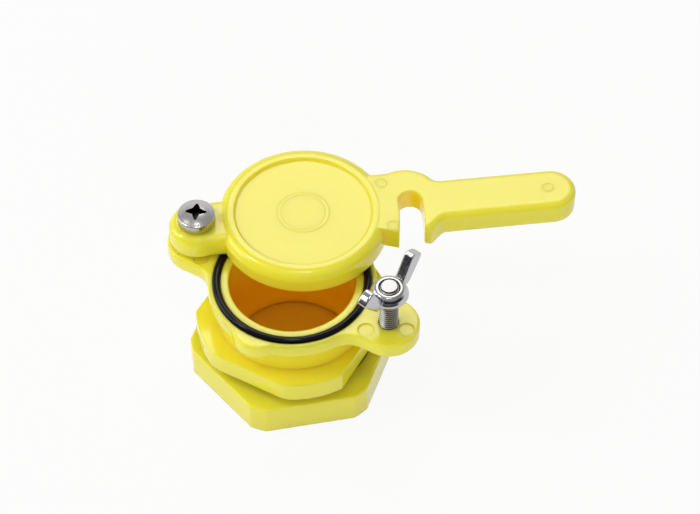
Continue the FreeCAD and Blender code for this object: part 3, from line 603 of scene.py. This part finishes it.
def make_cross_recess():
    """The four-pointed cross recess, as the punch that makes it: four tapered wings."""
    wings = []
    for quarter in range(4):
        nothing_selected()
        bpy.ops.mesh.primitive_cube_add(size=MM, location=(0, 0, 0))
        wing = named_piece(f"punch_wing_{quarter}")
        # The wings overlap in the middle and end at slightly different depths, so no faces meet flat
        depth = 3.0 + 0.01 * quarter
        wing.data.transform(Matrix.Diagonal((4.45, 4.3, depth + 1.0, 1.0)))
        wing.data.transform(Matrix.Translation(Vector((1.725, 0, (1.0 - depth) / 2)) * MM))
        pick_faces(wing, lambda centre, normal: normal.x > 0.9)
        bpy.ops.transform.resize(value=(1, 0.20, 1), center_override=(3.95 * MM, 0, 0))
        done_editing()
        pick_faces(wing, lambda centre, normal: normal.z < -0.9)
        bpy.ops.transform.resize(value=(0.55, 0.45, 1), center_override=(0, 0, -3.0 * MM))
        done_editing()
        place(wing, turn=quarter * math.pi / 2)
        wings.append(wing)
    punch = wings[0]
    for wing in wings[1:]:
        combine(punch, wing, "UNION")
    punch.name = "cross_punch"
    return punch


def make_pivot_screw():
    peak = HEAD_UNDER + 4.95
    crown = [(5.45, peak - 1.30), (4.7, peak - 0.98), (3.7, peak - 0.60), (2.6, peak - 0.30),
             (1.3, peak - 0.07), (0.0, peak)]
    head = turned("pivot_screw_piece", [(0.0, HEAD_UNDER), (5.50, HEAD_UNDER)]
                  + arc(5.50, HEAD_UNDER + 0.40, 0.40, -90, 0, 4)
                  + arc(5.60, HEAD_UNDER + 3.30, 0.30, 0, 60, 4) + crown, 128)
    punch = make_cross_recess()
    place(punch, z=peak, turn=math.radians(25.4))
    combine(head, punch, "DIFFERENCE")
    clear_slivers(head)
    shank = threaded_rod("pivot_screw_shank", 2.95, SCREW_END, HEAD_UNDER + 0.4, 0.8, 0.0)
    combine(head, shank, "UNION")
    clear_slivers(head)
    soften(head, 32)
    finish_piece(head, SATIN, "body", "polished_steel", "pivot_screw")
    # Painted shade: the walls of the cross take a near-black steel
    head.data.materials.append(PAINTED_CROSS_SHADE)
    for face in head.data.polygons:
        reach = math.hypot(face.center.x, face.center.y) / MM
        crown_drop = 0.045 * reach ** 2
        height = face.center.z / MM
        if reach < 3.9 and HEAD_UNDER + 1.0 < height < peak - crown_drop - 0.12:
            face.material_index = 1
    place(head, PIVOT.x)


def make_clamp_bolt():
    bolt = hexagon_head("clamp_bolt_piece", 5.0, BOLT_HEAD_UNDER, BOLT_HEAD_TOP, True, False)
    stud = threaded_rod("clamp_bolt_stud", 2.95, BOLT_HEAD_TOP - 1.0, STUD_TOP, 0.0, 0.5)
    combine(bolt, stud, "UNION")
    clear_slivers(bolt)
    soften(bolt, 35)
    place(bolt, STUD.x)
    finish_piece(bolt, THREAD, "body", "plain_steel", "clamp_bolt")


def make_wing_nut():
    """A cast wing nut: a coned hub and two thick wings run into each other, bored for the stud."""
    hub = turned("wing_nut_piece", [
        (0.0, 0.0), (5.0, 0.0), (5.3, 0.25), (5.85, 1.0), (6.08, 1.6), (5.95, 2.3), (5.5, 3.3),
        (5.2, 3.75), (4.9, 4.1), (4.55, 4.4), (4.15, 4.57), (3.8, 4.6), (0.0, 4.55),
    ], 128)
    side = [(4.0, 0.4), (7.6, 1.1), (8.5, 1.9), (13.1, 8.0), (13.55, 8.8), (13.4, 9.5), (12.6, 10.35),
            (11.4, 11.05), (10.2, 11.45), (9.4, 11.5), (8.8, 11.1), (4.6, 3.9)]
    blade = cut_sheet("wing_blade", side + [(0.0, 3.0)]
                      + [(-reach, height) for reach, height in reversed(side)], 3.4)
    apply_modifier(blade, "BEVEL", width=0.6 * MM, segments=4, limit_method="ANGLE",
                   angle_limit=math.radians(60))
    combine(hub, blade, "UNION")
    apply_modifier(hub, "REMESH", mode="VOXEL", voxel_size=0.12 * MM)
    apply_modifier(hub, "SMOOTH", factor=0.5, iterations=9)
    bore = turned("wing_nut_bore", [
        (0.0, -1.0), (3.35, -1.0), (3.35, 0.0), (3.0, 0.4), (3.0, 3.6), (3.45, 4.5), (3.6, 6.0),
        (0.0, 6.0),
    ])
    combine(hub, bore, "DIFFERENCE")
    soften(hub, 40)
    finish_piece(hub, POLISHED, "wing", "polished_steel", "wing_nut")
    # The hub's flat top ring: painted darker to dim its reflection
    hub.data.materials.append(HUB_TOP_PAINTED_DARKER)
    for face in hub.data.polygons:
        reach = math.hypot(face.center.x, face.center.y) / MM
        if face.normal.z > 0.8 and reach < 4.9 and face.center.z / MM > 4.2:
            face.material_index = 1
    place(hub, STUD.x, 0, WING_NUT_UNDER, WING_TURN)


def make_small_hardware():
    nut = hexagon_head("pivot_nut_piece", 5.0, 26.3, 31.3, True, True)
    bore = turned("pivot_nut_bore", [
        (0.0, 26.0), (3.5, 26.0), (3.5, 26.3), (3.0, 26.8), (3.0, 30.8), (3.5, 31.3), (3.5, 31.6),
        (0.0, 31.6),
    ])
    combine(nut, bore, "DIFFERENCE")
    clear_slivers(nut)
    soften(nut, 35)
    place(nut, PIVOT.x)
    finish_piece(nut, ROLLED, "body", "plain_steel", "pivot_nut")
    for node in ("pivot_washer", "clamp_washer"):
        finish_solid(node, ROLLED)


# ---- table, light and camera ----


def seen_directly(nodes, links):
    """1 for rays that see the table or sky directly, in a mirror or through glass, and 0 for light."""
    path = nodes.new("ShaderNodeLightPath")
    mirror = nodes.new("ShaderNodeMath")
    mirror.operation = "MAXIMUM"
    glass = nodes.new("ShaderNodeMath")
    glass.operation = "MAXIMUM"
    links.new(path.outputs["Is Camera Ray"], mirror.inputs[0])
    links.new(path.outputs["Is Glossy Ray"], mirror.inputs[1])
    links.new(mirror.outputs[0], glass.inputs[0])
    links.new(path.outputs["Is Transmission Ray"], glass.inputs[1])
    return glass.outputs[0]


def make_table():
    nothing_selected()
    bpy.ops.mesh.primitive_plane_add(size=12.0, location=(0, 0, -0.0001))
    table = named_piece("table_top")
    finish = bpy.data.materials.new("White table")
    finish.use_nodes = True
    nodes, links = finish.node_tree.nodes, finish.node_tree.links
    nodes.clear()
    leave = nodes.new("ShaderNodeOutputMaterial")
    paper = nodes.new("ShaderNodeBsdfDiffuse")
    glow = nodes.new("ShaderNodeEmission")
    glow.inputs["Color"].default_value = (1.0, 1.0, 1.0, 1.0)
    glow.inputs["Strength"].default_value = 1.0
    where = nodes.new("ShaderNodeTexCoord")
    from_passage = nodes.new("ShaderNodeVectorMath")
    from_passage.operation = "LENGTH"
    links.new(where.outputs["Object"], from_passage.inputs[0])
    outside = nodes.new("ShaderNodeMapRange")
    outside.inputs["From Min"].default_value = 24.0 * MM
    outside.inputs["From Max"].default_value = 30.0 * MM
    outside.inputs["To Max"].default_value = 0.91
    links.new(from_passage.outputs["Value"], outside.inputs["Value"])
    table_shade_edge = nodes.new("ShaderNodeMapRange")
    table_shade_edge.inputs["From Min"].default_value = 20.0 * MM
    table_shade_edge.inputs["From Max"].default_value = 21.0 * MM
    links.new(from_passage.outputs["Value"], table_shade_edge.inputs["Value"])
    # Painted shade and light: under the passage the paper is yellow-orange, for the table seen down the
    # yellow passage and lit only through it
    blend_colours(nodes, links, table_shade_edge.outputs["Result"], (0.95, 0.78, 0.10), (0.84, 0.84, 0.84),
                  paper.inputs["Color"])
    share = nodes.new("ShaderNodeMath")
    share.operation = "MULTIPLY"
    links.new(seen_directly(nodes, links), share.inputs[0])
    links.new(outside.outputs["Result"], share.inputs[1])
    bright = nodes.new("ShaderNodeMixShader")
    links.new(share.outputs[0], bright.inputs["Fac"])
    links.new(paper.outputs[0], bright.inputs[1])
    links.new(glow.outputs[0], bright.inputs[2])
    clear = nodes.new("ShaderNodeBsdfTransparent")
    under = nodes.new("ShaderNodeNewGeometry")
    one_sided = nodes.new("ShaderNodeMixShader")
    links.new(under.outputs["Backfacing"], one_sided.inputs["Fac"])
    links.new(bright.outputs[0], one_sided.inputs[1])
    links.new(clear.outputs[0], one_sided.inputs[2])
    links.new(one_sided.outputs[0], leave.inputs["Surface"])
    table.data.materials.append(finish)


def make_sky():
    """An even light all round. Seen directly it is white, and metal sees a dimmer room above it."""
    sky = bpy.data.worlds.new("Studio")
    bpy.context.scene.world = sky
    sky.use_nodes = True
    nodes, links = sky.node_tree.nodes, sky.node_tree.links
    leave = nodes["World Output"]
    room = nodes["Background"]
    room.inputs["Color"].default_value = (1.0, 0.965, 0.88, 1.0)
    room.inputs["Strength"].default_value = 0.33
    white = nodes.new("ShaderNodeBackground")
    white.inputs["Color"].default_value = (1.0, 1.0, 1.0, 1.0)
    white.inputs["Strength"].default_value = 1.0
    choice = nodes.new("ShaderNodeMixShader")
    where = nodes.new("ShaderNodeTexCoord")
    parts = nodes.new("ShaderNodeSeparateXYZ")
    backward = nodes.new("ShaderNodeVectorMath")
    backward.operation = "DOT_PRODUCT"
    backward.inputs[1].default_value = (-0.40, 0.92, 0.0)
    links.new(where.outputs["Generated"], parts.inputs["Vector"])
    links.new(where.outputs["Generated"], backward.inputs[0])
    wall = nodes.new("ShaderNodeMapRange")
    wall.inputs["From Min"].default_value = -0.25
    wall.inputs["From Max"].default_value = 0.25
    wall.inputs["To Min"].default_value = 0.02
    wall.inputs["To Max"].default_value = 1.0
    links.new(backward.outputs["Value"], wall.inputs["Value"])
    height = nodes.new("ShaderNodeMapRange")
    height.inputs["From Min"].default_value = 0.35
    height.inputs["From Max"].default_value = 0.65
    links.new(parts.outputs["Z"], height.inputs["Value"])
    upward = nodes.new("ShaderNodeMix")
    upward.inputs["B"].default_value = 0.45
    links.new(height.outputs["Result"], upward.inputs["Factor"])
    links.new(wall.outputs["Result"], upward.inputs["A"])
    path = nodes.new("ShaderNodeLightPath")
    ceiling = nodes.new("ShaderNodeBackground")
    links.new(upward.outputs["Result"], ceiling.inputs["Color"])
    mirror = nodes.new("ShaderNodeMixShader")
    links.new(path.outputs["Is Glossy Ray"], mirror.inputs["Fac"])
    links.new(white.outputs[0], mirror.inputs[1])
    links.new(ceiling.outputs[0], mirror.inputs[2])
    links.new(seen_directly(nodes, links), choice.inputs["Fac"])
    links.new(room.outputs[0], choice.inputs[1])
    links.new(mirror.outputs[0], choice.inputs[2])
    links.new(choice.outputs[0], leave.inputs["Surface"])


def add_softbox(name, place_m, aim_m, size_m, watts, in_mirrors=True):
    lamp = bpy.data.lights.new(name, "AREA")
    lamp.shape = "DISK"
    lamp.size = size_m
    lamp.energy = watts
    box = bpy.data.objects.new(name, lamp)
    bpy.context.scene.collection.objects.link(box)
    box.location = place_m
    box.rotation_mode = "QUATERNION"
    box.rotation_quaternion = (Vector(aim_m) - Vector(place_m)).to_track_quat("-Z", "Y")
    box.visible_camera = False
    box.visible_glossy = in_mirrors
    return lamp


def add_dark_card(name, place_m, aim_m, width_m, height_m):
    """A matt dark card beside the table, for the dark bands on the polished metal."""
    nothing_selected()
    bpy.ops.mesh.primitive_plane_add(size=1.0, location=(0, 0, 0))
    card = named_piece(name)
    facing = (Vector(aim_m) - Vector(place_m)).to_track_quat("Z", "Y")
    card.data.transform(Matrix.LocRotScale(Vector(place_m), facing, Vector((width_m, height_m, 1.0))))
    finish = bpy.data.materials.new(name)
    finish.use_nodes = True
    finish.node_tree.nodes["Principled BSDF"].inputs["Base Color"].default_value = (0.02, 0.02, 0.03, 1.0)
    card.data.materials.append(finish)
    card.visible_camera = False
    card.visible_diffuse = False
    card.visible_shadow = False


def make_studio():
    make_table()
    make_sky()
    aim = (0.0, 0.0, 0.03)
    add_softbox("Left softbox", (-1.05, -0.45, 0.60), aim, 0.85, 5.0)
    add_softbox("High left lamp", (-0.64, -0.36, 1.12), aim, 0.22, 1.95)
    add_softbox("Overhead lamp", (0.10, -0.20, 1.30), aim, 0.22, 1.5)
    add_softbox("Back softbox", (-0.40, 0.72, 1.05), aim, 0.64, 3.4)
    add_softbox("Front softbox", (0.62, -1.05, 0.55), aim, 0.9, 4.4, in_mirrors=False)
    # Light that the pale moulding lets through into its passage
    through_wall = add_softbox("Passage light", (0.0, 0.0, 0.0005), (0.0, 0.0, 1.0), 0.038, 0.0013,
                               in_mirrors=False)
    through_wall.color = (1.0, 0.66, 0.12)
    add_dark_card("Dark card on the table", (0.44, -0.80, 0.001), (0.44, -0.80, 1.0), 1.9, 1.38)
    bpy.context.scene.view_settings.view_transform = "Standard"


def make_camera():
    view = bpy.data.cameras.new("Camera")
    view.lens = 129.51
    view.sensor_width = 36.0
    view.clip_start = 0.01
    view.clip_end = 50.0
    camera = bpy.data.objects.new("Camera", view)
    bpy.context.scene.collection.objects.link(camera)
    stand = Vector((252.7, -422.1, 653.4)) * MM
    target = Vector((4.46, 29.42, 19.2)) * MM
    camera.location = stand
    camera.rotation_mode = "QUATERNION"
    camera.rotation_quaternion = (target - stand).to_track_quat("-Z", "Y")
    bpy.context.scene.camera = camera


make_mouldings()
make_seals()
make_pivot_screw()
make_clamp_bolt()
make_wing_nut()
make_small_hardware()
make_studio()
make_camera()

bpy.context.view_layer.update()
